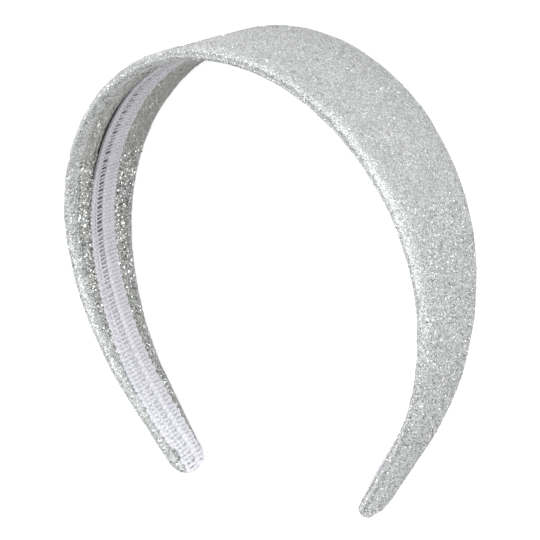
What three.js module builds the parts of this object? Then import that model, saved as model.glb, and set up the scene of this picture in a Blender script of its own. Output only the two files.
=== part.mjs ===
// Glitter headband: a stiff U-shaped hair band wrapped in glitter cloth, with a woven braid tape along
// its inner face. Millimetres, +Z up. The band lies on its rear edge, with its crown towards +Y and its
// two tips towards -Y.

import * as THREE from "three";

// The arch seen from the front, from the crown down one side: two tangent arcs and a straight tip.
const CROWN_RADIUS = 65;
const CROWN_TURN = THREE.MathUtils.degToRad(90);
const TEMPLE_RADIUS = 85;
const TEMPLE_TURN = THREE.MathUtils.degToRad(34);
const TIP_LENGTH = 29.5;

// Width of the band, which narrows evenly with the height down to the round-ended tips.
const CROWN_WIDTH = 40;
const TIP_WIDTH = 13;

// Section of the wrapped band: round rims, and an outer face that dips a little between them.
const RIM_RADIUS = 1.9;
const OUTER_DIP = 0.12;
const DIP_SHARE = 0.55;

// The braid tape, the trough that it lies in, and how far its cut ends stop short of the tips.
const TAPE_WIDTH = 10;
const TAPE_THICKNESS = 1;
const TAPE_BEVEL = 0.3;
const TAPE_GAP = 0.3;
const TAPE_SETBACK = 1;
const TROUGH_WALL_RUN = 0.2;
const TROUGH_SHARE = 0.9;

// How far the rear rim is pressed flat by the surface that it lies on.
const REST_FLAT = 0.2;

// Facets along the crown, a temple, a tip and its round end, and round a rim.
const CROWN_FACETS = 49;
const TEMPLE_FACETS = 10;
const TIP_FACETS = 5;
const ROUND_FACETS = 7;
const RIM_FACETS = 10;
const END_CAP_INSET = 0.04;

// Inner face down one side, by the length from the crown: the depth of the cloth flange beside the tape and
// of the trough floor under it, both measured inwards from the middle of the rims. The tape sinks between
// the flanges at the crown and stands on them at the tips.
const INNER_FACE = [
  { along: 0, flange: 1.2, floor: -0.3 },
  { along: 42, flange: 1.2, floor: -0.3 },
  { along: 64, flange: 1.5, floor: 0.4 },
  { along: 88, flange: 1.8, floor: 1.0 },
  { along: 155, flange: RIM_RADIUS, floor: 1.4 },
  { along: 169, flange: RIM_RADIUS, floor: RIM_RADIUS },
  { along: 200, flange: RIM_RADIUS, floor: RIM_RADIUS },
];

// Lengths, height, lean and the round end of a tip, which follow from the sizes above.
const CROWN_LENGTH = CROWN_RADIUS * CROWN_TURN;
const TEMPLE_LENGTH = TEMPLE_RADIUS * TEMPLE_TURN;
const HALF_LENGTH = CROWN_LENGTH + TEMPLE_LENGTH + TIP_LENGTH;
const TEMPLE_HEIGHT = TEMPLE_RADIUS * Math.sin(TEMPLE_TURN);
const ARCH_HEIGHT = CROWN_RADIUS + TEMPLE_HEIGHT + TIP_LENGTH * Math.cos(TEMPLE_TURN);
const LEAN = Math.atan((CROWN_WIDTH - TIP_WIDTH) / 2 / ARCH_HEIGHT);
const TIP_TAPER = Math.tan(LEAN) * Math.sin(CROWN_TURN + TEMPLE_TURN);
const TIP_ROUND = TIP_WIDTH / 2 / (1 - TIP_TAPER);

// The surface under the rear rim, in the upright band's frame: X from ear to ear, Y to the rear and Z up.
const REST_PLANE = new THREE.Plane(
  new THREE.Vector3(0, -Math.cos(LEAN), Math.sin(LEAN)),
  (CROWN_WIDTH / 2 - RIM_RADIUS) * Math.cos(LEAN) + RIM_RADIUS - REST_FLAT,
);

// Point of the upright arch's middle line and its inward direction, at a signed length from the crown.
function archAt(along) {
  const side = Math.sign(along);
  const length = Math.abs(along);
  const crownTurn = Math.min(length / CROWN_RADIUS, CROWN_TURN);
  const templeTurn = THREE.MathUtils.clamp((length - CROWN_LENGTH) / TEMPLE_RADIUS, 0, TEMPLE_TURN);
  const straight = Math.max(length - CROWN_LENGTH - TEMPLE_LENGTH, 0);
  const turn = crownTurn + templeTurn;
  const arcOut = CROWN_RADIUS * Math.sin(crownTurn) - TEMPLE_RADIUS * (1 - Math.cos(templeTurn));
  const arcDown = CROWN_RADIUS * (1 - Math.cos(crownTurn)) + TEMPLE_RADIUS * Math.sin(templeTurn);
  const out = arcOut + straight * Math.cos(turn);
  const down = arcDown + straight * Math.sin(turn);
  return {
    point: new THREE.Vector3(side * out, 0, -down),
    inward: new THREE.Vector3(-side * Math.sin(turn), 0, -Math.cos(turn)),
  };
}

// Half of the band's width, with the round end of the tip.
function halfWidth(along) {
  const drop = -archAt(along).point.z / ARCH_HEIGHT;
  const straightEdge = THREE.MathUtils.lerp(CROWN_WIDTH, TIP_WIDTH, drop) / 2;
  const intoRound = Math.abs(along) - (HALF_LENGTH - TIP_ROUND);
  return intoRound > 0 ? Math.sqrt(TIP_ROUND ** 2 - intoRound ** 2) : straightEdge;
}

// Half of the band's thickness at its rims, which closes in a quarter round at the end of the tip.
function rimRadius(along) {
  const intoRim = Math.max(Math.abs(along) - (HALF_LENGTH - RIM_RADIUS), 0);
  return Math.sqrt(RIM_RADIUS ** 2 - intoRim ** 2);
}

// One column of the inner face's table, at a length from the crown.
function innerFace(column, along) {
  const length = Math.abs(along);
  const next = INNER_FACE.findIndex((row) => row.along > length);
  const above = INNER_FACE[next - 1];
  const below = INNER_FACE[next];
  const share = (length - above.along) / (below.along - above.along);
  return THREE.MathUtils.lerp(above[column], below[column], share);
}

// Signed lengths from the left tip to the right one at which the band has a section.
function bandStations() {
  const side = [];
  for (let facet = 0.5; facet <= CROWN_FACETS / 2; facet++) {
    side.push((CROWN_LENGTH * facet) / (CROWN_FACETS / 2));
  }
  for (let facet = 1; facet <= TEMPLE_FACETS; facet++) {
    side.push(CROWN_LENGTH + (TEMPLE_LENGTH * facet) / TEMPLE_FACETS);
  }
  for (let facet = 1; facet <= TIP_FACETS; facet++) {
    side.push(CROWN_LENGTH + TEMPLE_LENGTH + ((TIP_LENGTH - TIP_ROUND) * facet) / TIP_FACETS);
  }
  for (let facet = 1; facet <= ROUND_FACETS; facet++) {
    const reach = TIP_ROUND * Math.sin(((Math.PI / 2) * facet) / ROUND_FACETS);
    side.push(HALF_LENGTH - TIP_ROUND + Math.min(reach, TIP_ROUND - END_CAP_INSET));
  }
  return [...side.map((along) => -along).reverse(), ...side];
}

// The band's stations that the tape covers, with its own cut ends.
function tapeStations() {
  const end = HALF_LENGTH - TAPE_SETBACK;
  return [-end, ...bandStations().filter((along) => Math.abs(along) < end), end];
}

// A whole section from its rear half: x runs across the band to the rear, and y is the depth inwards.
function mirrored(half) {
  const front = half.map((point) => new THREE.Vector2(-point.x, point.y));
  return [...half, ...front.reverse()];
}

// The wrapped band's section, from the outer face round the rim to the trough.
function bandSection(along) {
  const rim = rimRadius(along);
  const rimCentre = halfWidth(along) - rim;
  const size = rim / RIM_RADIUS;
  const fullTrough = TAPE_WIDTH / 2 + TAPE_GAP + TROUGH_WALL_RUN;
  const trough = Math.min(fullTrough, TROUGH_SHARE * rimCentre);
  const troughFloor = trough * (1 - TROUGH_WALL_RUN / fullTrough);
  const half = [new THREE.Vector2(DIP_SHARE * rimCentre, (OUTER_DIP - RIM_RADIUS) * size)];
  for (let facet = 0; facet <= RIM_FACETS; facet++) {
    const turn = Math.PI * (facet / RIM_FACETS - 0.5);
    half.push(new THREE.Vector2(rimCentre + rim * Math.cos(turn), rim * Math.sin(turn)));
  }
  half.push(new THREE.Vector2(trough, innerFace("flange", along) * size));
  half.push(new THREE.Vector2(troughFloor, innerFace("floor", along) * size));
  return mirrored(half);
}

// The tape's section: a flat strip with its corners taken off.
function tapeSection(along) {
  const edge = TAPE_WIDTH / 2;
  const outer = innerFace("floor", along) + TAPE_GAP;
  const inner = outer + TAPE_THICKNESS;
  return mirrored([
    new THREE.Vector2(edge - TAPE_BEVEL, outer),
    new THREE.Vector2(edge, outer + TAPE_BEVEL),
    new THREE.Vector2(edge, inner - TAPE_BEVEL),
    new THREE.Vector2(edge - TAPE_BEVEL, inner),
  ]);
}

// A section set across the arch, with what would reach through the rest surface pressed flat on it.
function placed(section, along) {
  const { point, inward } = archAt(along);
  return section.map((corner) => {
    const place = inward.clone().multiplyScalar(corner.y).add(point);
    place.y += corner.x;
    const below = Math.min(REST_PLANE.distanceToPoint(place), 0);
    return place.addScaledVector(REST_PLANE.normal, -below);
  });
}

// A closed solid along the arch: the sections at the stations, joined by strips and capped at both ends.
function loft(stations, sectionAt) {
  const sections = stations.map(sectionAt);
  const corners = sections[0].length;
  const lastRing = (stations.length - 1) * corners;
  const index = [];
  for (let ring = 0; ring < lastRing; ring += corners) {
    for (let corner = 0; corner < corners; corner++) {
      const here = ring + corner;
      const beside = ring + ((corner + 1) % corners);
      index.push(here, here + corners, beside, beside, here + corners, beside + corners);
    }
  }
  for (const [a, b, c] of THREE.ShapeUtils.triangulateShape(sections[0], [])) {
    index.push(a, b, c);
    index.push(lastRing + a, lastRing + c, lastRing + b);
  }
  const geometry = new THREE.BufferGeometry();
  geometry.setFromPoints(stations.flatMap((along, row) => placed(sections[row], along)));
  geometry.setIndex(index);
  geometry.computeVertexNormals();
  return geometry;
}

// A named piece with its own finish.
function namedMesh(name, geometry, finish) {
  const mesh = new THREE.Mesh(geometry, new THREE.MeshStandardMaterial(finish));
  mesh.name = name;
  return mesh;
}

const upright = new THREE.Group();
upright.add(
  namedMesh("glitter_band", loft(bandStations(), bandSection), {
    color: 0xc3c8c7,
    roughness: 0.4,
    metalness: 0.6,
  }),
  namedMesh("inner_tape", loft(tapeStations(), tapeSection), {
    color: 0xdddae6,
    roughness: 0.8,
    metalness: 0,
  }),
);

// The upright band is laid on its rear edge, with the middle of its footprint at the origin.
upright.rotation.x = LEAN - Math.PI / 2;
upright.position.z = REST_PLANE.constant;
const headband = new THREE.Group();
headband.add(upright);
const footprint = new THREE.Box3().setFromObject(headband, true);
upright.position.y = -footprint.getCenter(new THREE.Vector3()).y;

export default headband;
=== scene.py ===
"""Glitter headband: a stiff hoop wrapped in silver glitter cloth, with a braid tape along its inner face.

The band lies on its rear edge, with the crown towards +Y and the tips towards -Y. Metres, +Z up.
"""

import logging
import math
from dataclasses import dataclass
from enum import Enum
from typing import Dict, List, Optional, Sequence, Tuple

import bmesh
import bpy
import numpy as np
from bpy.types import Material, Node, NodeSocket, NodeTree, Object
from mathutils import Matrix, Vector


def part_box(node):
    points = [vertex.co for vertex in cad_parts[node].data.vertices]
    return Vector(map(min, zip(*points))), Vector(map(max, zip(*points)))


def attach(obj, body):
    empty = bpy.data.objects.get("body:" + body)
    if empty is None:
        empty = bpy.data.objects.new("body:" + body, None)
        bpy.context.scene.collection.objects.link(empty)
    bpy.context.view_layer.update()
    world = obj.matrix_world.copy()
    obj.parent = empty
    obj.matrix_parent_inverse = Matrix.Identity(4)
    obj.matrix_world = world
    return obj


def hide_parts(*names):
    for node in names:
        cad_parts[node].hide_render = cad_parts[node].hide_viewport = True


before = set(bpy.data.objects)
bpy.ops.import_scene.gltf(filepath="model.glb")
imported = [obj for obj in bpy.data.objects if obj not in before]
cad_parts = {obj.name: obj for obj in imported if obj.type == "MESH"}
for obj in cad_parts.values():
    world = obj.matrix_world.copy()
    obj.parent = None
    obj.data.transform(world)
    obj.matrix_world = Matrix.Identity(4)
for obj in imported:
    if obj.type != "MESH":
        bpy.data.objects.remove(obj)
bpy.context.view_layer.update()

MM = 0.001
BODY = "root"
BAND_NODE = "glitter_band"
TAPE_NODE = "inner_tape"
BAKE_MAP = "OFBake"
YARN_MAP = "yarn_run"
SEED = 20
TINY = 1e-12

# The sRGB curve: a straight foot, then a power law
CHANNEL_TOP = 255
FOOT_END = 0.04045
FOOT_SLOPE = 12.92
CURVE_OFFSET = 0.055
CURVE_POWER = 2.4

# A yarn is drawn with six sides, and two quads close each of its ends
YARN_SIDES = 6
YARN_END = np.array([[0, 3, 2, 1], [0, 5, 4, 3]])

log = logging.getLogger("headband")

# An array of points, lengths or shares, and a row of a table
Array = np.ndarray
Row = Tuple[float, ...]


class End(Enum):
    """The two halves of the hoop, by the sign of the length from the crown."""

    LEFT = -1
    RIGHT = 1


class Edge(Enum):
    """The two long edges of the hoop, by the sign of the distance across it."""

    FRONT = -1
    REAR = 1


class Face(Enum):
    """The two faces of the wrapped band that carry glitter."""

    OUTER = "outer"
    INNER = "inner"


# Small helpers

def mm(*lengths: float) -> Row:
    """Turn lengths in millimetres into metres."""
    return tuple(length * MM for length in lengths)


def linear(code: str) -> Tuple[float, float, float, float]:
    """Turn an sRGB hex colour into linear light.

    Args:
        code: Six hex digits.

    Returns:
        The linear red, green, blue and an alpha of 1.
    """
    light: List[float] = []
    for channel in bytes.fromhex(code):
        part = channel / CHANNEL_TOP
        curved = ((part + CURVE_OFFSET) / (1 + CURVE_OFFSET)) ** CURVE_POWER
        light.append(part / FOOT_SLOPE if part <= FOOT_END else curved)
    return (light[0], light[1], light[2], 1.0)


def add_node(tree: NodeTree, kind: str, links: Optional[Dict] = None, **settings: object) -> Node:
    """Add a shader node with its settings and links.

    Args:
        tree: The material's node tree.
        kind: The node's type, without the leading ShaderNode.
        links: For each input, by name or number, a socket to link or a constant to set.
        settings: Properties of the node itself.

    Returns:
        The new node.
    """
    node = tree.nodes.new("ShaderNode" + kind)
    for name, value in settings.items():
        setattr(node, name, value)
    for key, value in (links or {}).items():
        if isinstance(value, NodeSocket):
            tree.links.new(value, node.inputs[key])
        else:
            node.inputs[key].default_value = value
    return node


def unit(vectors: Array) -> Array:
    """Scale vectors in the last axis to length 1."""
    return vectors / np.maximum(np.linalg.norm(vectors, axis=-1, keepdims=True), TINY)


def smooth_step(share: Array) -> Array:
    """Ease from 0 to 1 with level ends."""
    held = np.clip(share, 0, 1)
    return held * held * (3 - 2 * held)


def ease(values: Array, reach: Sequence[float]) -> Array:
    """Ease from 0 at the near end of a reach to 1 at its far end."""
    return smooth_step((values - reach[0]) / (reach[1] - reach[0]))


def between(ends: Sequence[float], share: Array) -> Array:
    """Go a share of the way from the first of two values to the second."""
    return ends[0] + (ends[1] - ends[0]) * share


def above_floor(points: Array) -> Array:
    """Press points flat where they would reach through the floor."""
    points[..., 2] = np.maximum(points[..., 2], 0)
    return points


def run_length(points: Array) -> Array:
    """Add up the length along each row of points, (rows, points, 3)."""
    steps = np.diff(points, axis=1, prepend=points[:, :1])
    return np.cumsum(np.linalg.norm(steps, axis=2), axis=1)


def ring_of(first: Array, second: Array, corners: int) -> Array:
    """Point to the corners of a regular ring, from unit directions to its start and a quarter turn on."""
    turn = np.arange(corners)[:, None] * math.tau / corners
    return first[..., None, :] * np.cos(turn) + second[..., None, :] * np.sin(turn)


def new_piece(
    name: str,
    points: Array,
    faces: Array,
    materials: Sequence[Material],
    maps: Optional[Dict[str, Array]] = None,
    slots: Optional[Array] = None,
    smooth: bool = True,
) -> Object:
    """Make a mesh object from arrays.

    Args:
        name: The piece's name.
        points: Vertices, (N, 3), in metres.
        faces: Vertex numbers, one row for each face, all with as many corners.
        materials: The finishes, in slot order.
        maps: UV maps by name, one row of two for each corner of each face.
        slots: The finish number of each face, or none for the first one.
        smooth: Whether the faces are shaded smooth.

    Returns:
        The object, linked to the scene.
    """
    mesh = bpy.data.meshes.new(name)
    mesh.vertices.add(len(points))
    mesh.vertices.foreach_set("co", np.ascontiguousarray(points, np.float32).ravel())
    mesh.loops.add(faces.size)
    mesh.loops.foreach_set("vertex_index", np.ascontiguousarray(faces, np.int32).ravel())
    mesh.polygons.add(len(faces))
    mesh.polygons.foreach_set("loop_start", np.arange(0, faces.size, faces.shape[1], dtype=np.int32))
    mesh.polygons.foreach_set("use_smooth", np.full(len(faces), smooth))
    for material in materials:
        mesh.materials.append(material)
    if slots is not None:
        mesh.polygons.foreach_set("material_index", np.ascontiguousarray(slots, np.int32))
    for map_name, corners in (maps or {}).items():
        layer = mesh.uv_layers.new(name=map_name, do_init=False)
        layer.uv.foreach_set("vector", np.ascontiguousarray(corners, np.float32).ravel())
    mesh.update(calc_edges=True)
    piece = bpy.data.objects.new(name, mesh)
    bpy.context.scene.collection.objects.link(piece)
    return piece


def grid_faces(rows: int, columns: int) -> Array:
    """List the quads of a grid of vertices, facing along the first axis crossed with the second."""
    start = (np.arange(rows - 1)[:, None] * columns + np.arange(columns - 1)).ravel()
    return np.stack([start, start + columns, start + columns + 1, start + 1], axis=1)


def flat_cut(rows: int, columns: int, faces: Array) -> Dict[str, Array]:
    """Map a grid's quads for the bake as the flat cut that the piece is made from."""
    sides = np.meshgrid(np.linspace(0, 1, rows), np.linspace(0, 1, columns), indexing="ij")
    return {BAKE_MAP: np.stack(sides, axis=-1).reshape(-1, 2)[faces.ravel()]}


# Finishes

class Finish:
    """A finish, named for its material, which draws its own look in an empty material."""

    name: str

    def inputs(self, tree: NodeTree) -> Dict:
        """Draw the look, and give what goes into the surface shader, by input."""
        raise NotImplementedError

    def material(self) -> Material:
        """Make the material, or find it if it is made already.

        Returns:
            The material.
        """
        made = bpy.data.materials.get(self.name)
        if made is None:
            made = bpy.data.materials.new(self.name)
            made.use_nodes = True
            tree = made.node_tree
            tree.nodes.clear()
            shader = add_node(tree, "BsdfPrincipled", self.inputs(tree))
            add_node(tree, "OutputMaterial", {"Surface": shader.outputs[0]})
        return made


@dataclass(frozen=True)
class GlitterFilm(Finish):
    """Silver polyurethane film, cast on cloth, with fine glitter sunk in it.

    Each sunk flake lies at its own small tilt under the film, so the ground between the loose flakes breaks
    up into grains of lighter and darker satin grey.
    """

    name: str = "silver_glitter_film"
    light: str = "B0B2B2"
    dark: str = "7A7D7D"
    # Sunk glitter is usually about 0.1 mm across, and is drawn coarser to show
    grain: float = 0.3 * MM
    metallic: float = 0.7
    roughness: float = 0.42
    grain_tilt: float = 0.36
    mean_draw: Tuple[float, float, float] = (0.5, 0.5, 0.5)

    def inputs(self, tree: NodeTree) -> Dict:
        """Draw the grains, each with its own tone and tilt.

        Args:
            tree: The material's node tree.

        Returns:
            The shader's inputs.
        """
        place = add_node(tree, "TexCoord").outputs["Object"]
        grains = add_node(tree, "TexVoronoi", {"Vector": place, "Scale": 1 / self.grain}, feature="F1")
        draw = grains.outputs["Color"]
        shade = add_node(tree, "SeparateColor", {"Color": draw})
        tone = add_node(tree, "ValToRGB", {"Fac": shade.outputs["Red"]})
        tone.color_ramp.elements[0].color = linear(self.dark)
        tone.color_ramp.elements[1].color = linear(self.light)
        centred = add_node(tree, "VectorMath", {0: draw, 1: self.mean_draw}, operation="SUBTRACT")
        lean = add_node(
            tree, "VectorMath", {0: centred.outputs[0], "Scale": self.grain_tilt}, operation="SCALE"
        )
        face = add_node(tree, "NewGeometry")
        turned = add_node(
            tree, "VectorMath", {0: face.outputs["Normal"], 1: lean.outputs[0]}, operation="ADD"
        )
        normal = add_node(tree, "VectorMath", {0: turned.outputs[0]}, operation="NORMALIZE")
        return {
            "Base Color": tone.outputs["Color"],
            "Metallic": self.metallic,
            "Roughness": self.roughness,
            "Normal": normal.outputs[0],
        }


@dataclass(frozen=True)
class PolyesterFlake(Finish):
    """Aluminised polyester film, die-cut into hexagons: a flat mirror under a thin clear or tinted lacquer.

    A flake shows whatever it happens to face, so it is white where it faces a light and grey elsewhere.
    """

    name: str
    colour: str
    share: float
    roughness: float = 0.16
    metallic: float = 1.0

    def inputs(self, tree: NodeTree) -> Dict:
        """Give the shader's inputs, which need no pattern."""
        return {"Base Color": linear(self.colour), "Metallic": self.metallic, "Roughness": self.roughness}


# A dimmer flake: a share at random on every face, and painted shade as every calm flake on the inner face
DIM_AND_SHADED_FLAKE = "aluminised_flake_dim_and_shaded"

FLAKES = (
    PolyesterFlake("aluminised_flake_silver", "A4A5A3", 0.4),
    PolyesterFlake(DIM_AND_SHADED_FLAKE, "8B8A83", 0.2, 0.28),
    PolyesterFlake("aluminised_flake_ice", "9CA3A7", 0.08),
    PolyesterFlake("aluminised_flake_mint", "9CA49E", 0.08),
    PolyesterFlake("aluminised_flake_rose", "A69EA0", 0.05),
    PolyesterFlake("aluminised_flake_bright", "D4D5D3", 0.19, 0.12),
)


@dataclass(frozen=True)
class ViscoseYarn(Finish):
    """Soft-twisted viscose yarn, dyed a cool white: a silky sheen, with the twist as fine slanted lines."""

    name: str = "viscose_yarn"
    # Painted shade: the first colour of each pair, at the crown, is darker, and the second, towards the
    # tips, lighter
    light: Tuple[str, str] = ("929196", "BABAC0")
    dark: Tuple[str, str] = ("807F85", "A3A3A9")
    shaded_from: float = 50 * MM
    lit_from: float = -60 * MM
    twist: float = 0.5 * MM
    strands: int = 3
    # At this scale the slanted lines come about 1.4 mm apart, coarser than the twist, to show
    wave_scale: float = 0.2221
    wave_uneven: float = 0.6
    wave_detail: float = 1.0
    cloud: float = 2.2 * MM
    cloud_detail: float = 2.0
    cloud_share: float = 0.55
    tone_range: Tuple[float, float] = (0.25, 0.7)
    roughness: float = 0.62
    sheen: float = 0.35
    sheen_roughness: float = 0.4
    bump: float = 0.35
    bump_height: float = 0.06 * MM

    def inputs(self, tree: NodeTree) -> Dict:
        """Draw the twist along the yarn, with clouds of lighter and darker fibre, and painted shade that
        darkens it towards the crown.

        Args:
            tree: The material's node tree.

        Returns:
            The shader's inputs.
        """
        run = add_node(tree, "UVMap", uv_map=YARN_MAP)
        scale = (1 / self.twist, self.strands, 1.0)
        scaled = add_node(tree, "Mapping", {"Vector": run.outputs[0], "Scale": scale})
        wave = add_node(
            tree,
            "TexWave",
            {
                "Vector": scaled.outputs[0],
                "Scale": self.wave_scale,
                "Distortion": self.wave_uneven,
                "Detail": self.wave_detail,
            },
            bands_direction="DIAGONAL",
        )
        place = add_node(tree, "TexCoord").outputs["Object"]
        cloud = add_node(
            tree, "TexNoise", {"Vector": place, "Scale": 1 / self.cloud, "Detail": self.cloud_detail}
        )
        shares = {0: self.cloud_share, 2: wave.outputs["Fac"], 3: cloud.outputs["Fac"]}
        mixed = add_node(tree, "Mix", shares, data_type="FLOAT")
        tones: List[NodeSocket] = []
        for colours in zip(self.dark, self.light):
            tone = add_node(tree, "ValToRGB", {"Fac": mixed.outputs[0]})
            for stop, position, colour in zip(tone.color_ramp.elements, self.tone_range, colours):
                stop.position = position
                stop.color = linear(colour)
            tones.append(tone.outputs["Color"])
        # Painted shade: the yarn darkens from the tips up towards the crown, along +Y
        height = add_node(tree, "SeparateXYZ", {0: place}).outputs["Y"]
        reach = {"Value": height, "From Min": self.shaded_from, "From Max": self.lit_from}
        down = add_node(tree, "MapRange", reach)
        painted_shade_tone = add_node(
            tree, "Mix", {0: down.outputs["Result"], 6: tones[0], 7: tones[1]}, data_type="RGBA"
        )
        relief = add_node(
            tree,
            "Bump",
            {"Height": wave.outputs["Fac"], "Strength": self.bump, "Distance": self.bump_height},
        )
        return {
            "Base Color": painted_shade_tone.outputs[2],
            "Roughness": self.roughness,
            "Sheen Weight": self.sheen,
            "Sheen Roughness": self.sheen_roughness,
            "Normal": relief.outputs[0],
        }


@dataclass(frozen=True)
class GauzeGround(Finish):
    """Plain-woven gauze under the braid: flat, faintly checked, and greyer than the yarn, partly as painted
    shade in the open meshes.
    """

    name: str = "woven_gauze_ground"
    light: str = "A4A4AB"
    dark: str = "93939B"
    thread: float = 0.4 * MM
    roughness: float = 0.8
    bump: float = 0.3
    bump_height: float = 0.05 * MM

    def inputs(self, tree: NodeTree) -> Dict:
        """Args:
            tree: The material's node tree.

        Returns:
            The shader's inputs.
        """
        place = add_node(tree, "TexCoord").outputs["Object"]
        check = add_node(
            tree, "TexVoronoi", {"Vector": place, "Scale": 1 / self.thread}, distance="CHEBYCHEV"
        ).outputs["Distance"]
        tone = add_node(tree, "ValToRGB", {"Fac": check})
        tone.color_ramp.elements[0].color = linear(self.light)
        tone.color_ramp.elements[1].color = linear(self.dark)
        heights = {"Height": check, "Strength": self.bump, "Distance": self.bump_height}
        relief = add_node(tree, "Bump", heights, invert=True)
        return {
            "Base Color": tone.outputs["Color"],
            "Roughness": self.roughness,
            "Normal": relief.outputs[0],
        }


@dataclass(frozen=True)
class PaintedShadeFilm(Finish):
    """Painted shade: a dull dark grey film that darkens the braid's open meshes and the crease along its
    front.
    """

    name: str = "painted_shade_film"
    colour: str = "67666A"
    roughness: float = 0.6

    def inputs(self, tree: NodeTree) -> Dict:
        """Give the shader's inputs, which need no pattern."""
        return {"Base Color": linear(self.colour), "Roughness": self.roughness}


@dataclass(frozen=True)
class OpalTable(Finish):
    """Opal acrylic of a light table, cast and sanded matt: white, and lit from below, more so far out."""

    name: str = "opal_acrylic_table"
    colour: str = "F4F4F4"
    roughness: float = 0.95
    glow: Tuple[float, float] = (0.1, 0.6)
    glow_reach: Tuple[float, float] = (0.5, 1.3)

    def inputs(self, tree: NodeTree) -> Dict:
        """Draw the glow, which grows away from the middle.

        Args:
            tree: The material's node tree.

        Returns:
            The shader's inputs.
        """
        place = add_node(tree, "TexCoord").outputs["Object"]
        reach = add_node(tree, "VectorMath", {0: place}, operation="LENGTH")
        glow = add_node(
            tree,
            "MapRange",
            {
                "Value": reach.outputs["Value"],
                "From Min": self.glow_reach[0],
                "From Max": self.glow_reach[1],
                "To Min": self.glow[0],
                "To Max": self.glow[1],
            },
            interpolation_type="SMOOTHSTEP",
        )
        return {
            "Base Color": linear(self.colour),
            "Roughness": self.roughness,
            "Emission Color": linear(self.colour),
            "Emission Strength": glow.outputs["Result"],
        }


# The hoop

@dataclass(frozen=True)
class Hoop:
    """The arch of the hoop and the section of the wrapped band, by lengths along and distances across.

    A length along is signed from the crown, minus to the left tip. A distance across is minus at the front
    edge. A depth is measured inwards from the middle of the rims.
    """

    crown_radius: float = 65 * MM
    crown_turn: float = math.radians(90)
    temple_radius: float = 85 * MM
    temple_turn: float = math.radians(34)
    tip_length: float = 29.5 * MM
    crown_width: float = 40 * MM
    tip_width: float = 13 * MM
    rim: float = 1.9 * MM
    rest_flat: float = 0.2 * MM
    # Length from the crown, and there the depth of the cloth beside the tape and of the trough under it
    face_along: Row = mm(0, 42, 64, 88, 155, 169, 200)
    flange_depth: Row = mm(1.2, 1.2, 1.5, 1.8, 1.9, 1.9, 1.9)
    trough_depth: Row = mm(-0.3, -0.3, 0.4, 1.0, 1.4, 1.9, 1.9)

    @property
    def crown_length(self) -> float:
        """Length of the crown's arc on one side."""
        return self.crown_radius * self.crown_turn

    @property
    def temple_length(self) -> float:
        """Length of a temple's arc."""
        return self.temple_radius * self.temple_turn

    @property
    def half_length(self) -> float:
        """Length from the crown to the end of a tip."""
        return self.crown_length + self.temple_length + self.tip_length

    @property
    def height(self) -> float:
        """Height of the upright arch."""
        temple = self.temple_radius * math.sin(self.temple_turn)
        return self.crown_radius + temple + self.tip_length * math.cos(self.temple_turn)

    @property
    def lean(self) -> float:
        """Turn of the rear edge from the upright, which lies flat when the band rests."""
        return math.atan((self.crown_width - self.tip_width) / 2 / self.height)

    @property
    def tip_round(self) -> float:
        """Radius of a tip's round end."""
        taper = math.tan(self.lean) * math.sin(self.crown_turn + self.temple_turn)
        return self.tip_width / 2 / (1 - taper)

    def middle(self, along: Array) -> Tuple[Array, Array]:
        """Find the upright arch's middle line.

        Args:
            along: Signed lengths from the crown.

        Returns:
            The points, and the unit directions inwards, each (..., 3).
        """
        side = np.where(along < 0, -1.0, 1.0)
        length = np.abs(along)
        crown = np.minimum(length / self.crown_radius, self.crown_turn)
        temple = np.clip((length - self.crown_length) / self.temple_radius, 0, self.temple_turn)
        straight = np.maximum(length - self.crown_length - self.temple_length, 0)
        turn = crown + temple
        out = self.crown_radius * np.sin(crown) - self.temple_radius * (1 - np.cos(temple))
        down = self.crown_radius * (1 - np.cos(crown)) + self.temple_radius * np.sin(temple)
        out = out + straight * np.cos(turn)
        down = down + straight * np.sin(turn)
        level = np.zeros_like(out)
        points = np.stack([side * out, level, -down], axis=-1)
        inward = np.stack([-side * np.sin(turn), level, -np.cos(turn)], axis=-1)
        return points, inward

    def half_width(self, along: Array) -> Array:
        """Find half of the band's width, which narrows evenly with the height and ends round.

        Args:
            along: Signed lengths from the crown.

        Returns:
            The half widths.
        """
        drop = -self.middle(along)[0][..., 2] / self.height
        straight = between((self.crown_width, self.tip_width), drop) / 2
        into = np.maximum(np.abs(along) - (self.half_length - self.tip_round), 0)
        rounded = np.sqrt(np.maximum(self.tip_round ** 2 - into ** 2, 0))
        return np.where(into > 0, rounded, straight)

    def rim_at(self, along: Array) -> Array:
        """Radius of the rims, which close in a quarter round at the end of a tip."""
        into = np.maximum(np.abs(along) - (self.half_length - self.rim), 0)
        return np.sqrt(np.maximum(self.rim ** 2 - into ** 2, 0))

    def flange_at(self, along: Array) -> Array:
        """Depth of the cloth beside the tape."""
        return np.interp(np.abs(along), self.face_along, self.flange_depth)

    def trough_at(self, along: Array) -> Array:
        """Depth of the trough's floor under the tape."""
        return np.interp(np.abs(along), self.face_along, self.trough_depth)

    def laid(self, vectors: Array) -> Array:
        """Turn vectors of the upright band into the lying one.

        Args:
            vectors: The vectors, (..., 3).

        Returns:
            The turned vectors, of the same shape.
        """
        x, y, z = np.moveaxis(np.asarray(vectors, float), -1, 0)
        sine, cosine = math.sin(self.lean), math.cos(self.lean)
        return np.stack([x, y * sine + z * cosine, z * sine - y * cosine], axis=-1)

    def seat(self) -> Array:
        """Find where the upright band's crown lies in the frame.

        Returns:
            The crown's place.
        """
        rim_centre = self.crown_width / 2 - self.rim
        reach = rim_centre * math.sin(self.lean) + self.rim
        lift = rim_centre * math.cos(self.lean) + self.rim - self.rest_flat
        return np.array([0.0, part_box(BAND_NODE)[1][1] - reach, lift])

    def place(self, along: Array, across: Array, depth: Array) -> Array:
        """Put points of the band in the frame.

        Args:
            along: Signed lengths from the crown.
            across: Distances across the band.
            depth: Depths inwards.

        Returns:
            The points, (..., 3), in metres.
        """
        along, across, depth = np.broadcast_arrays(along, across, depth)
        points, inward = self.middle(along)
        upright = points + inward * depth[..., None]
        upright[..., 1] += across
        return above_floor(self.laid(upright) + self.seat())


# The glitter cloth

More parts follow.
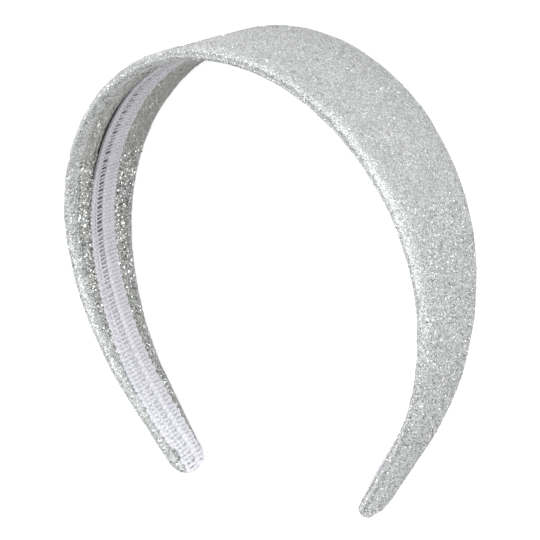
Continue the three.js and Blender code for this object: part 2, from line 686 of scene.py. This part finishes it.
@dataclass
class GlitterCloth:
    """The glitter cloth wrapped round the hoop, with its two raw edges meeting under the tape."""

    hoop: Hoop
    slit: float = 0.3 * MM
    outer_dip: float = 0.12 * MM
    dip_share: float = 0.4
    # Half of the trough's width: open at the front near the crown, and closed up under the tape elsewhere
    tape_room: Row = mm(5.3, 4.5)
    room_along: Row = mm(62, 78)
    trough_share: float = 0.9
    # Length from the crown, and there the width and the swell of the soft roll of cloth at the front
    roll_along: Row = mm(0, 35, 60, 72, 84, 110, 140)
    roll_width: Row = mm(1.6, 1.8, 2.8, 1.6, 0.35, 0.3, 0.3)
    roll_swell: Row = mm(0.2, 0.55, 1.5, 1.3, 0.8, 0.35, 0.15)
    rear_lip: float = 0.4 * MM
    # How far the round of the front rim runs out beyond its radius, on to the inner and the outer face, and
    # the most of each face that it takes up
    inner_reach: float = 1.5 * MM
    outer_reach: float = 2.2 * MM
    inner_share: float = 0.6
    outer_share: float = 0.5
    # The pleat where the cloth is gathered in at the front of the left tip
    pleat_along: float = -174.9 * MM
    pleat_across: float = -5.9 * MM
    pleat_size: Row = mm(2.5, 1.45)
    pleat_height: float = 0.95 * MM
    # The ripples' height, how far from the ends of the tips and from the tape they die out, and their half
    # waves: the length along the hoop, the width round its section and the phase of each
    ripple: float = 0.05 * MM
    ripple_tip: float = 8 * MM
    ripple_tape: float = 3 * MM
    waves: Tuple[Tuple[float, float, float], ...] = (
        (23 * MM, 9 * MM, 0.4),
        (13 * MM, 15 * MM, 1.9),
        (7.5 * MM, 11 * MM, 4.1),
        (5.2 * MM, 6.5 * MM, 2.6),
    )
    body_steps: int = 104
    neck_length: float = 12 * MM
    neck_steps: int = 30
    round_steps: int = 24
    floor_points: int = 4
    wall_points: int = 8
    flange_points: int = 16
    rim_points: int = 22
    outer_points: int = 13
    # Points nearer than this, at the very ends of the tips, are joined
    weld: float = 1e-7
    film: Finish = GlitterFilm()

    def stations(self) -> Array:
        """Choose where the cloth has a section, more closely towards the ends of the tips.

        Returns:
            Signed lengths from the crown.
        """
        straight = self.hoop.half_length - self.hoop.tip_round
        neck = straight - self.neck_length
        turn = np.linspace(0, math.pi / 2, self.round_steps + 1)[1:]
        side = np.concatenate(
            [
                np.linspace(0, neck, self.body_steps, endpoint=False),
                np.linspace(neck, straight, self.neck_steps + 1),
                straight + self.hoop.tip_round * np.sin(turn),
            ]
        )
        return np.concatenate([-side[:0:-1], side])

    def half_section(self, along: Array, edge: Edge) -> Tuple[Array, Array]:
        """Shape half of the section, from the slit under the tape out to the middle of the outer face.

        Args:
            along: Lengths of the stations, (S, 1).
            edge: Which half.

        Returns:
            Distances from the middle and depths, each (S, points).
        """
        rim = self.hoop.rim_at(along)
        centre = np.maximum(self.hoop.half_width(along) - rim, 0)
        size = rim / self.hoop.rim
        flange = self.hoop.flange_at(along) * size
        floor = self.hoop.trough_at(along) * size
        if edge is Edge.FRONT:
            length = np.abs(along)
            room = np.interp(length, self.room_along, self.tape_room)
            lip_width = np.interp(length, self.roll_along, self.roll_width)
            swell = np.interp(length, self.roll_along, self.roll_swell) * size
            inner_reach, outer_reach = self.inner_reach, self.outer_reach
        else:
            room = np.full_like(along, self.tape_room[1])
            lip_width = np.full_like(along, self.rear_lip)
            swell = np.zeros_like(along)
            inner_reach, outer_reach = 0.0, 0.0
        trough = np.minimum(room, self.trough_share * centre)
        narrow = trough / room
        lip = np.minimum(trough + lip_width * narrow, centre)
        inner_end = centre - np.minimum(inner_reach, self.inner_share * (centre - lip))
        outer_end = centre - np.minimum(outer_reach, self.outer_share * centre)
        steps = np.linspace(0, 1, self.floor_points, endpoint=False)
        across = [self.slit * narrow + (trough - self.slit * narrow) * steps]
        depth = [floor + 0 * steps]
        turn = np.linspace(0, math.pi / 2, self.wall_points, endpoint=False)
        across.append(trough + (lip - trough) * (1 - np.cos(turn)))
        depth.append(floor + (flange - floor) * np.sin(turn))
        steps = np.linspace(0, 1, self.flange_points, endpoint=False)
        across.append(lip + (inner_end - lip) * steps)
        depth.append(flange + (rim - flange) * smooth_step(steps) + swell * np.sin(math.pi * steps) ** 2)
        turn = np.linspace(math.pi / 2, -math.pi / 2, self.rim_points, endpoint=False)
        face_end = np.where(turn > 0, inner_end, outer_end)
        across.append(face_end + (centre + rim - face_end) * np.cos(turn))
        depth.append(rim * np.sin(turn))
        steps = np.linspace(1, 0, self.outer_points)
        across.append(outer_end * steps)
        dip = 1 - ease(steps, (self.dip_share, 1))
        depth.append((self.outer_dip * dip - self.hoop.rim) * size)
        return np.concatenate(across, axis=1), np.concatenate(depth, axis=1)

    def section(self) -> Tuple[Array, Array, Array]:
        """Shape the whole section at every station, from the front raw edge round to the rear one.

        Returns:
            Lengths along, distances across and depths, each (stations, points).
        """
        along = self.stations()[:, None]
        front_across, front_depth = self.half_section(along, Edge.FRONT)
        rear_across, rear_depth = self.half_section(along, Edge.REAR)
        whole_across = np.concatenate([-front_across, rear_across[:, -2::-1]], axis=1)
        whole_depth = np.concatenate([front_depth, rear_depth[:, -2::-1]], axis=1)
        return along + 0 * whole_across, whole_across, whole_depth

    def points(self) -> Array:
        """Place the cloth's points, with the faint ripples of cloth pulled round the rims by hand.

        Returns:
            The points, (stations, points, 3).
        """
        along, across, depth = self.section()
        inside = depth > 0
        even = self.hoop.place(along, across, depth)
        girth = run_length(even)
        ripple = sum(
            np.sin(along / length * math.pi + phase) * np.sin(girth / width * math.pi + phase)
            for length, width, phase in self.waves
        )
        tip_fade = smooth_step((self.hoop.half_length - np.abs(along)) / self.ripple_tip)
        from_tape = smooth_step((np.abs(across) - self.tape_room[0]) / self.ripple_tape)
        tape_fade = np.where(inside, from_tape, 1)
        reach = ((along - self.pleat_along) / self.pleat_size[0]) ** 2
        reach = reach + ((across - self.pleat_across) / self.pleat_size[1]) ** 2
        pleat = np.where(inside, np.sqrt(np.maximum(1 - reach, 0)), 0)
        raised = self.ripple * ripple * tip_fade * tape_fade + self.pleat_height * pleat
        return above_floor(even + self.normals(even) * raised[..., None])

    def normals(self, points: Array) -> Array:
        """Find the unit outward normals of a grid of points, (stations, points, 3)."""
        return unit(np.cross(np.gradient(points, axis=0), np.gradient(points, axis=1)))

    def build(self) -> Object:
        """Make the cloth's piece, with the flat cut as its UV map.

        Returns:
            The cloth.
        """
        points = self.points()
        rows, columns = points.shape[:2]
        faces = grid_faces(rows, columns)
        cut = flat_cut(rows, columns, faces)
        piece = new_piece("glitter_cloth", points.reshape(-1, 3), faces, [self.film.material()], cut)
        work = bmesh.new()
        work.from_mesh(piece.data)
        bmesh.ops.remove_doubles(work, verts=work.verts, dist=self.weld)
        work.to_mesh(piece.data)
        work.free()
        return piece


@dataclass(frozen=True)
class Strewing:
    """How the flakes lie on one face: calm on the film, or astray.

    The share that lies astray has one value at the crown and one on the arms.
    """

    density: float
    radius: float
    astray: Tuple[float, float]
    calm_size: float
    # Whether every calm flake takes the dim flake, as painted shade
    calm_shaded: bool
    calm_tilt: float = math.radians(7)
    stray_tilt: float = math.radians(30)


@dataclass
class GlitterCoat:
    """Loose hexagonal flakes stuck all over the cloth, flat at the crown and loosened on the arms."""

    cloth: GlitterCloth
    # Fine glitter is usually about 0.2 mm across, and is drawn coarser to show, more so on the inner face
    outer: Strewing = Strewing(7.2 / MM ** 2, 0.14 * MM, (0.06, 0.7), 1.0, False)
    inner: Strewing = Strewing(10 / MM ** 2, 0.25 * MM, (0.02, 0.55), 0.62, True)
    loosened: Row = mm(66, 88)
    radius_spread: float = 0.25
    lift: float = 0.05 * MM
    # No flake lies under the tape: up to this length from the crown and this distance from the middle
    under_tape: Row = mm(178, 4.6)
    corners: int = 6

    def zone(self, face: Face, end: End, shape: Tuple[int, int]) -> Array:
        """Choose the cloth's quads that belong to one face of one half.

        Args:
            face: The face.
            end: The half.
            shape: Stations and points of the cloth's grid.

        Returns:
            A mask, (stations - 1, points - 1).
        """
        rows, columns = shape
        cloth = self.cloth
        inner_start = cloth.floor_points + cloth.wall_points // 2
        rim_start = cloth.floor_points + cloth.wall_points + cloth.flange_points
        column = np.arange(columns - 1)
        from_edge = np.minimum(column, columns - 2 - column)
        wanted = from_edge >= rim_start
        if face is Face.INNER:
            wanted = (from_edge >= inner_start) & ~wanted
        row = np.arange(rows - 1)
        half = row < (rows - 1) // 2 if end is End.LEFT else row >= (rows - 1) // 2
        return half[:, None] & wanted[None, :]

    def build(self, face: Face, end: End, seed: int) -> Object:
        """Strew the flakes of one face of one half.

        Args:
            face: The face.
            end: The half.
            seed: Seed of the random draws.

        Returns:
            The flakes, as one piece.
        """
        rng = np.random.default_rng(seed)
        strewing = self.outer if face is Face.OUTER else self.inner
        points = self.cloth.points()
        along, across, depth = self.cloth.section()
        corner = [points[:-1, :-1], points[1:, :-1], points[1:, 1:], points[:-1, 1:]]
        facing = np.cross(corner[2] - corner[0], corner[3] - corner[1])
        area = np.linalg.norm(facing, axis=2) / 2
        reach, half = self.under_tape
        covered = (depth > 0) & (np.abs(across) < half) & (np.abs(along) < reach)
        wanted = self.zone(face, end, points.shape[:2]) & ~covered[:-1, :-1]
        area = np.where(wanted, area, 0).ravel()
        count = int(area.sum() * strewing.density)
        quad = rng.choice(len(area), count, p=area / area.sum())
        down, over = rng.random((2, count, 1))
        a, b, c, d = (part.reshape(-1, 3)[quad] for part in corner)
        centre = a * (1 - down) * (1 - over) + b * down * (1 - over)
        centre = centre + c * down * over + d * (1 - down) * over
        normal = unit(facing.reshape(-1, 3)[quad])
        first = unit(np.cross(normal, unit(rng.normal(size=(count, 3)))))
        second = np.cross(normal, first)
        loose = ease(np.abs(along[:-1, :-1].reshape(-1, 1)[quad]), self.loosened)
        astray = rng.random((count, 1)) < between(strewing.astray, loose)
        tilt = np.where(astray, strewing.stray_tilt, strewing.calm_tilt)
        lean = np.tan(tilt) * rng.normal(size=(2, count, 1))
        axis = unit(normal + first * lean[0] + second * lean[1])
        first = unit(np.cross(second, axis))
        second = np.cross(axis, first)
        size = strewing.radius * np.exp(self.radius_spread * rng.normal(size=(count, 1)))
        size = np.where(astray, size, size * strewing.calm_size)
        ring = ring_of(first, second, self.corners)
        vertices = above_floor((centre + normal * self.lift)[:, None] + ring * size[:, None])
        faces = np.arange(count * self.corners).reshape(count, self.corners)
        slots = rng.choice(len(FLAKES), count, p=np.array([flake.share for flake in FLAKES]))
        # Painted shade: every calm flake here takes the dim flake
        if strewing.calm_shaded:
            slots = np.where(astray[:, 0], slots, [flake.name for flake in FLAKES].index(DIM_AND_SHADED_FLAKE))
        name = "glitter_%s_%s" % (face.value, end.name.lower())
        materials = [flake.material() for flake in FLAKES]
        return new_piece(name, vertices.reshape(-1, 3), faces, materials, slots=slots, smooth=False)


# The braid tape

@dataclass
class BraidTape:
    """The braid tape: hairpin loops of yarn on a gauze ground, a cord down the middle and picots in front.

    Its points have a length along the hoop, a distance across the tape as woven, and a height above its
    underside.
    """

    hoop: Hoop
    setback: float = 1.0 * MM
    gap: float = 0.3 * MM
    end_run: float = 3 * MM
    # Where the front edge comes up out of the trough, and how far across the tape its edges are lifted
    leave_along: Row = mm(62, 77)
    lift_across: Row = mm(3.2, 4.8)
    edge: float = 5.0 * MM
    edge_height: float = 0.42 * MM
    edge_seat: float = -0.1 * MM
    # Length from the crown, and there how far the tape lies off the middle and how much it is pulled wide
    lay_along: Row = mm(0, 60, 80, 100, 130, 150, 162, 170, 175, 178, 180, 182)
    lay_off: Row = mm(0, 0.3, 0.1, -0.15, -0.5, -0.75, -0.75, -0.1, 0.5, 0.5, 0.4, 0.3)
    lay_wide: Row = (0.98, 0.98, 1.02, 1.03, 1.08, 1.13, 1.12, 1.05, 0.95, 0.92, 0.82, 0.7)
    # Thin and flat yarn near the crown, and thicker where it is fluffed up towards the tips
    front_yarn: Row = mm(0.68, 1.3)
    rear_yarn: Row = mm(1.05, 1.36)
    fluff_along: Row = mm(88, 148)
    # The hairpin loops
    pitch: float = 2.69 * MM
    loops: int = 67
    slant: float = 0.14
    heart: float = 0.35 * MM
    heart_gap: float = 0.74 * MM
    gap_run: float = 3 * MM
    leg_steps: int = 8
    turn_steps: int = 9
    rise_across: Row = mm(0, 1.2, 2.4, 3.4)
    rise: Row = mm(0.5, 0.62, 0.68, 0.6)
    jitter: float = 0.11 * MM
    height_jitter: float = 0.03 * MM
    spread_jitter: float = 0.08
    stretch_jitter: float = 0.012
    thick_jitter: float = 0.07
    # The picots: thickness, place, half of their length, height, and how much they taper and fluff up
    picot: float = 1.0 * MM
    picot_across: float = -4.65 * MM
    picot_reach: float = 0.62 * MM
    picot_rise: float = 0.42 * MM
    picot_taper: float = 0.92
    picot_fluff: float = 0.2
    picot_steps: int = 9
    # The long threads: distance across, thickness, height near the crown, and rise towards the tips
    binders: Tuple[Row, ...] = (
        mm(-4.45, 1.15, 0.62, 0),
        mm(-2.85, 0.85, 0.44, 0.5),
        mm(4.4, 1.15, 0.5, 0),
    )
    thread_setback: float = 0.8 * MM
    thread_wave: float = 0.06 * MM
    thread_steps: int = 10
    # The cord: two plies, thicker and closer towards the tips, with lumps near the crown
    cord_across: float = 0.65 * MM
    cord_spread: Row = mm(0.5, 0.32)
    cord_ply: Row = mm(1.45, 1.8)
    cord_height: float = 0.42 * MM
    cord_rise: float = 0.08 * MM
    cord_proud: float = 0.48 * MM
    cord_lump: float = 0.2
    # The second, slower beat of the lumps: its share, its pace and its start
    cord_beat: Tuple[float, float, float] = (0.6, 0.37, 1.0)
    cord_setback: float = 0.2 * MM
    cord_steps: int = 8
    # The ground: its height where it is sunk and elsewhere, and where it sinks, from the rear and the front
    ground_half: float = 4.6 * MM
    ground_height: Row = mm(0.05, 0.82)
    ground_setback: float = 0.6 * MM
    ground_points: Tuple[int, int] = (260, 19)
    sink_rear: Row = mm(1.2, 0)
    sink_front: Row = mm(-3.6, -2.8)
    # Past this share of its sinking, the ground takes the painted shade
    painted_shade_from: float = 0.9
    # The painted shadow line in the crease along the front edge: its reach either side of the crown, and
    # its place
    shadow_line_reach: float = 80 * MM
    shadow_line_across: float = -5.5 * MM
    shadow_line_height: float = 0.8 * MM
    shadow_line_thick: float = 0.6 * MM
    shadow_line_steps: int = 4
    # Space kept free at either side of a yarn in the bake map, as a share of its lane
    bake_margin: float = 0.05

    def end(self) -> float:
        """Length from the crown to a cut end of the tape."""
        return self.hoop.half_length - self.setback

    def put(self, path: Array) -> Array:
        """Place tape points in the frame, with the edges on the cloth, but the front one sunk at the crown.

        Args:
            path: Tape points, (..., 3).

        Returns:
            The points, (..., 3).
        """
        along, across, height = np.moveaxis(path, -1, 0)
        length = np.abs(along)
        floor = self.hoop.trough_at(along) + self.gap * smooth_step((self.end() - length) / self.end_run)
        floor = floor * self.hoop.rim_at(along) / self.hoop.rim
        wide = np.interp(length, self.lay_along, self.lay_wide)
        laid = across * wide + np.interp(length, self.lay_along, self.lay_off)
        seated = self.hoop.flange_at(along) - floor + self.edge_seat
        out_of_trough = ease(length, self.leave_along)
        at_edge = ease(np.abs(across), self.lift_across)
        to_rear = np.clip((across / self.edge + 1) / 2, 0, 1)
        lift = at_edge * out_of_trough + to_rear * (1 - out_of_trough)
        risen = height + (seated - self.edge_height) * lift
        return self.hoop.place(along, laid, floor + risen)

    def tubes(self, name: str, paths: Array, thick: Array, finish: Material) -> Object:
        """Draw yarns along paths.

        Args:
            name: The piece's name.
            paths: Tape points, (yarns, steps, 3).
            thick: Diameters, which spread to (yarns, steps).
            finish: The yarn's material.

        Returns:
            The yarns, as one piece.
        """
        count, steps = paths.shape[:2]
        middle = self.put(paths)
        run = unit(np.gradient(middle, axis=1))
        inward = self.hoop.laid(self.hoop.middle(paths[..., 0])[1])
        aside = unit(np.cross(run, inward))
        ring = ring_of(aside, np.cross(aside, run), YARN_SIDES)
        half = np.broadcast_to(thick, (count, steps))[:, :, None, None] / 2
        points = above_floor((middle[:, :, None] + ring * half).reshape(-1, 3))
        step, side = np.meshgrid(np.arange(steps - 1), np.arange(YARN_SIDES), indexing="ij")
        wall_step = np.stack([step, step, step + 1, step + 1], axis=-1).reshape(-1, 4)
        wall_side = np.stack([side, side + 1, side + 1, side], axis=-1).reshape(-1, 4)
        wall = wall_step * YARN_SIDES + wall_side % YARN_SIDES
        caps = np.concatenate([YARN_END, YARN_END[:, ::-1] + (steps - 1) * YARN_SIDES])
        one = np.concatenate([wall, caps])
        faces = (np.arange(count)[:, None, None] * steps * YARN_SIDES + one).reshape(-1, 4)
        cap_step = np.repeat([0, steps - 1], YARN_END.size)
        corner_step = np.concatenate([wall_step.ravel(), cap_step])
        corner_turn = np.concatenate([wall_side.ravel(), caps.ravel() % YARN_SIDES]) / YARN_SIDES
        turns = np.broadcast_to(corner_turn, (count, len(corner_turn)))
        run_map = np.stack([run_length(middle)[:, corner_step], turns], axis=-1)
        lane = np.arange(count)[:, None] + self.bake_margin + (1 - 2 * self.bake_margin) * turns
        bake = np.stack(np.broadcast_arrays(corner_step / (steps - 1), lane / count), axis=-1)
        maps = {BAKE_MAP: bake.reshape(-1, 2), YARN_MAP: run_map.reshape(-1, 2)}
        return new_piece(name, points, faces, [finish], maps)

    def places(self) -> Array:
        """Lengths along at which the loops stand."""
        return self.pitch * np.arange(-self.loops, self.loops + 1)

    def fluff(self, along: Array) -> Array:
        """How far the yarn is fluffed up, from 0 near the crown to 1 towards the tips."""
        return ease(np.abs(along), self.fluff_along)

    def hairpins(self, edge: Edge, rng: np.random.Generator) -> Tuple[Array, Array]:
        """Lay out the hairpin loops of one edge.

        Args:
            edge: The edge.
            rng: Source of the small unevenness.

        Returns:
            Tape points, (loops, steps, 3), and the yarn's diameters, (loops, 1).
        """
        front = edge is Edge.FRONT
        places = self.places()[:, None]
        radius = self.pitch / 4
        start = -self.heart if front else self.heart
        leg = np.linspace(start, self.edge - radius, self.leg_steps)
        turn = np.linspace(0, math.pi, self.turn_steps)[1:-1]
        out = np.concatenate([leg, self.edge - radius + radius * np.sin(turn), leg[::-1]])
        near = self.heart_gap / 2 if front else radius
        half_gap = between((near, radius), smooth_step((leg - start) / self.gap_run))
        aside = np.concatenate([-half_gap, -radius * np.cos(turn), half_gap[::-1]])
        height = np.interp(out, (*self.rise_across, self.edge), (*self.rise, self.edge_height))
        offset = rng.normal(0, self.jitter, places.shape)
        spread = 1 + rng.normal(0, self.spread_jitter, places.shape)
        stretch = 1 + rng.normal(0, self.stretch_jitter, places.shape)
        across = edge.value * out * stretch
        along = places + offset + aside * spread + self.slant * across
        high = height + rng.normal(0, self.height_jitter, places.shape)
        yarn = self.front_yarn if front else self.rear_yarn
        uneven = 1 + rng.normal(0, self.thick_jitter, places.shape)
        return np.stack([along, across, high], axis=-1), between(yarn, self.fluff(places)) * uneven

    def picots(self, rng: np.random.Generator) -> Tuple[Array, Array]:
        """Lay out the short slanted stitches that edge the front.

        Args:
            rng: Source of the small unevenness.

        Returns:
            Tape points, (stitches, steps, 3), and their diameters, (stitches, steps).
        """
        places = self.places()[:, None]
        share = np.linspace(-1, 1, self.picot_steps)
        offset = rng.normal(0, self.jitter, places.shape)
        along = places + offset - self.picot_reach * share
        across = self.picot_across + self.picot_reach * share + 0 * places
        bow = self.edge_height + self.picot_rise * (1 - share ** 2)
        high = bow + rng.normal(0, self.height_jitter, places.shape)
        taper = np.sqrt(1 - self.picot_taper * share ** 4)
        thick = self.picot * taper * (1 + self.picot_fluff * self.fluff(places))
        return np.stack([along, across, high], axis=-1), thick

    def threads(self) -> Tuple[Array, Array]:
        """Lay out the long threads that bind the loops, which rise over each leg and dip between legs.

        Returns:
            Tape points, (threads, steps, 3), and the threads' diameters, (threads, 1).
        """
        end = self.end() - self.thread_setback
        along = np.arange(-end, end, self.pitch / self.thread_steps)
        wave = self.thread_wave * np.cos(along / self.pitch * 2 * math.tau)
        fluff = self.fluff(along)
        paths = [
            np.stack([along, across + 0 * along, height + rise * fluff - wave], axis=-1)
            for across, _, height, rise in self.binders
        ]
        return np.stack(paths), np.array([[binder[1]] for binder in self.binders])

    def cords(self) -> Tuple[Array, Array]:
        """Lay out the two plies of the middle cord, one of which comes up at each loop.

        Returns:
            Tape points, (2, steps, 3), and the plies' diameters, (steps,).
        """
        end = self.end() - self.cord_setback
        along = np.arange(-end, end, self.pitch / self.cord_steps)
        fluff = self.fluff(along)
        plies: List[Array] = []
        for start in (0, math.pi):
            turn = along / self.pitch * math.pi + start
            across = self.cord_across + between(self.cord_spread, fluff) * np.sin(turn)
            height = self.cord_height + self.cord_rise * np.cos(turn) + self.cord_proud * fluff
            plies.append(np.stack([along, across, height], axis=-1))
        beat = along / self.pitch * math.tau
        slow_share, pace, slow_start = self.cord_beat
        lumps = np.cos(beat) + slow_share * np.cos(pace * beat + slow_start)
        thick = between(self.cord_ply, fluff) * (1 + self.cord_lump * lumps * (1 - fluff))
        return np.stack(plies), thick

    def shadow_line(self) -> Array:
        """Lay out the painted shadow line in the crease along the front edge as tape points, (1, steps, 3).
        """
        along = np.arange(-self.shadow_line_reach, self.shadow_line_reach, self.pitch / self.shadow_line_steps)
        return np.stack(np.broadcast_arrays(along, self.shadow_line_across, self.shadow_line_height), axis=-1)[None]

    def ground(self, painted_shade: Material) -> Object:
        """Make the gauze ground, which lies low under the front loops near the crown and high elsewhere.

        Args:
            painted_shade: The painted shade finish, for where it lies lowest.

        Returns:
            The ground strip.
        """
        end = self.end() - self.ground_setback
        rows, columns = self.ground_points
        along = np.linspace(-end, end, rows)
        across = np.linspace(-self.ground_half, self.ground_half, columns)
        low, high = self.ground_height
        near_front = ease(across, self.sink_rear) * ease(across, self.sink_front)
        sunk = near_front * (1 - self.fluff(along))[:, None]
        at_end = 1 - smooth_step((self.end() - np.abs(along)) / self.end_run)[:, None]
        height = high - (high - low) * np.maximum(sunk, at_end)
        path = np.stack(np.broadcast_arrays(along[:, None], across, height), axis=-1)
        points = self.put(path).reshape(-1, 3)
        faces = grid_faces(rows, columns)[:, ::-1]
        cut = flat_cut(rows, columns, faces)
        finishes = [GauzeGround().material(), painted_shade]
        # Painted shade on the ground where it is sunk deepest, near the crown's front
        painted_shade_slots = (sunk[:-1, :-1] > self.painted_shade_from).ravel()
        return new_piece("tape_ground", points, faces, finishes, cut, slots=painted_shade_slots)

    def build(self) -> List[Object]:
        """Make the tape's pieces.

        Returns:
            The ground, then the yarns on it.
        """
        rng = np.random.default_rng(SEED)
        yarn = ViscoseYarn().material()
        painted_shade = PaintedShadeFilm().material()
        front, front_thick = self.hairpins(Edge.FRONT, rng)
        rear, rear_thick = self.hairpins(Edge.REAR, rng)
        picots, picot_thick = self.picots(rng)
        threads, thread_thick = self.threads()
        cords, cord_thick = self.cords()
        return [
            self.ground(painted_shade),
            self.tubes("tape_front_loops", front, front_thick, yarn),
            self.tubes("tape_rear_loops", rear, rear_thick, yarn),
            self.tubes("tape_picots", picots, picot_thick, yarn),
            self.tubes("tape_threads", threads, thread_thick, yarn),
            self.tubes("tape_cord", cords, cord_thick, yarn),
            # The painted shadow line in the front crease
            self.tubes("tape_painted_shadow_line", self.shadow_line(), np.array(self.shadow_line_thick), painted_shade),
        ]


# The studio

@dataclass(frozen=True)
class LightRing:
    """A ring of softboxes of one size on stands of one height, all facing the band.

    Each box has an azimuth, from +X towards +Y, and a radiance, its own brightness on a scale where white
    paper in full light is about 1.
    """

    elevation: int
    size: Tuple[float, float]
    boxes: Tuple[Tuple[int, float], ...]
    distance: float = 1.0

    def build(self) -> None:
        """Set up the ring's lights."""
        rise = math.radians(self.elevation)
        for azimuth, radiance in self.boxes:
            name = "softbox_%d_%d" % (azimuth, self.elevation)
            lamp = bpy.data.lights.new(name, "AREA")
            lamp.shape = "RECTANGLE"
            lamp.size, lamp.size_y = self.size
            lamp.energy = math.pi * self.size[0] * self.size[1] * radiance
            turn = math.radians(azimuth)
            level = math.cos(rise)
            towards = Vector((math.cos(turn) * level, math.sin(turn) * level, math.sin(rise)))
            light = bpy.data.objects.new(name, lamp)
            light.location = towards * self.distance
            light.rotation_euler = towards.to_track_quat("Z", "Y").to_euler()
            bpy.context.scene.collection.objects.link(light)


@dataclass
class Studio:
    """The light table, the soft lights and the camera."""

    hoop: Hoop
    floor_size: float = 8.0
    floor_points: int = 9
    room_light: str = "FFFFFF"
    room_strength: float = 0.45
    view_azimuth: float = math.radians(40.046)
    view_elevation: float = math.radians(15.913)
    view_roll: float = math.radians(-4.343)
    view_distance: float = 564.5 * MM
    view_aim: Row = mm(2.25, 1.44, -67.19)
    lens: float = 128.757
    sensor: float = 36.0
    clip_start: float = 10 * MM
    rings: Tuple[LightRing, ...] = (
        LightRing(
            17,
            (0.85, 0.55),
            ((0, 2.9), (40, 2.4), (80, 2.2), (120, 2.6), (160, 0.9), (200, 2.8), (240, 0.9), (320, 0.8)),
        ),
        LightRing(
            50,
            (0.9, 0.6),
            ((20, 1.8), (80, 0.3), (140, 0.7), (200, 1.4), (260, 0.85), (320, 3.5)),
        ),
        LightRing(88, (0.8, 0.8), ((0, 0.6),)),
    )

    def floor(self) -> Object:
        """Set up the light table.

        Returns:
            The floor.
        """
        half = self.floor_size / 2
        side = np.linspace(-half, half, self.floor_points)
        points = np.stack(np.meshgrid(side, side, [0.0], indexing="ij"), axis=-1).reshape(-1, 3)
        faces = grid_faces(self.floor_points, self.floor_points)
        table = new_piece("floor", points, faces, [OpalTable().material()])
        return table

    def camera(self) -> Object:
        """Set the camera at the view's angle to the band.

        Returns:
            The camera.
        """
        level = math.cos(self.view_elevation)
        back = np.array(
            [
                math.sin(self.view_azimuth) * level,
                -math.cos(self.view_azimuth) * level,
                math.sin(self.view_elevation),
            ]
        )
        level_right = unit(np.cross(-back, (0, 0, 1)))
        level_up = np.cross(level_right, -back)
        right = math.cos(self.view_roll) * level_right + math.sin(self.view_roll) * level_up
        up = np.cross(back, right)
        stand = np.array(self.view_aim) + back * self.view_distance
        axes = [self.hoop.laid(axis) for axis in (right, up, back)]
        place = self.hoop.laid(stand) + self.hoop.seat()
        lens = bpy.data.cameras.new("camera")
        lens.lens = self.lens
        lens.sensor_width = self.sensor
        lens.sensor_fit = "HORIZONTAL"
        lens.clip_start = self.clip_start
        camera = bpy.data.objects.new("camera", lens)
        columns = [[float(axis[row]) for axis in axes] + [float(place[row])] for row in range(3)]
        camera.matrix_world = Matrix(columns + [[0, 0, 0, 1]])
        bpy.context.scene.collection.objects.link(camera)
        bpy.context.scene.camera = camera
        return camera

    def build(self) -> None:
        """Set up the floor, lights, room and camera."""
        self.floor()
        self.camera()
        for ring in self.rings:
            ring.build()
        world = bpy.data.worlds.new("room")
        world.use_nodes = True
        world.node_tree.nodes.clear()
        light = {"Color": linear(self.room_light), "Strength": self.room_strength}
        glow = add_node(world.node_tree, "Background", light)
        add_node(world.node_tree, "OutputWorld", {"Surface": glow.outputs[0]})
        bpy.context.scene.world = world
        bpy.context.scene.view_settings.view_transform = "Standard"


# The whole band

@dataclass
class Headband:
    """The whole band: cloth, glitter and tape, fixed to the band's body."""

    hoop: Hoop

    def dress(self, piece: Object) -> None:
        """Fix a piece to the band's body, and log how many faces it has.

        Args:
            piece: The piece.
        """
        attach(piece, BODY)
        log.info("%s: %d faces", piece.name, len(piece.data.polygons))

    def build(self) -> None:
        cloth_maker = GlitterCloth(self.hoop)
        cloth = cloth_maker.build()
        coat = GlitterCoat(cloth_maker)
        zones = [(face, end) for face in Face for end in End]
        flakes = [coat.build(face, end, SEED + number) for number, (face, end) in enumerate(zones)]
        tape = BraidTape(self.hoop).build()
        for piece in [cloth] + flakes:
            self.dress(piece)
        for piece in tape:
            self.dress(piece)
        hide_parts(BAND_NODE)
        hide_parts(TAPE_NODE)


def main() -> None:
    """Build the studio and the band."""
    logging.basicConfig(level=logging.INFO, format="%(message)s")
    hoop = Hoop()
    Studio(hoop).build()
    Headband(hoop).build()


if __name__ == "__main__":
    main()
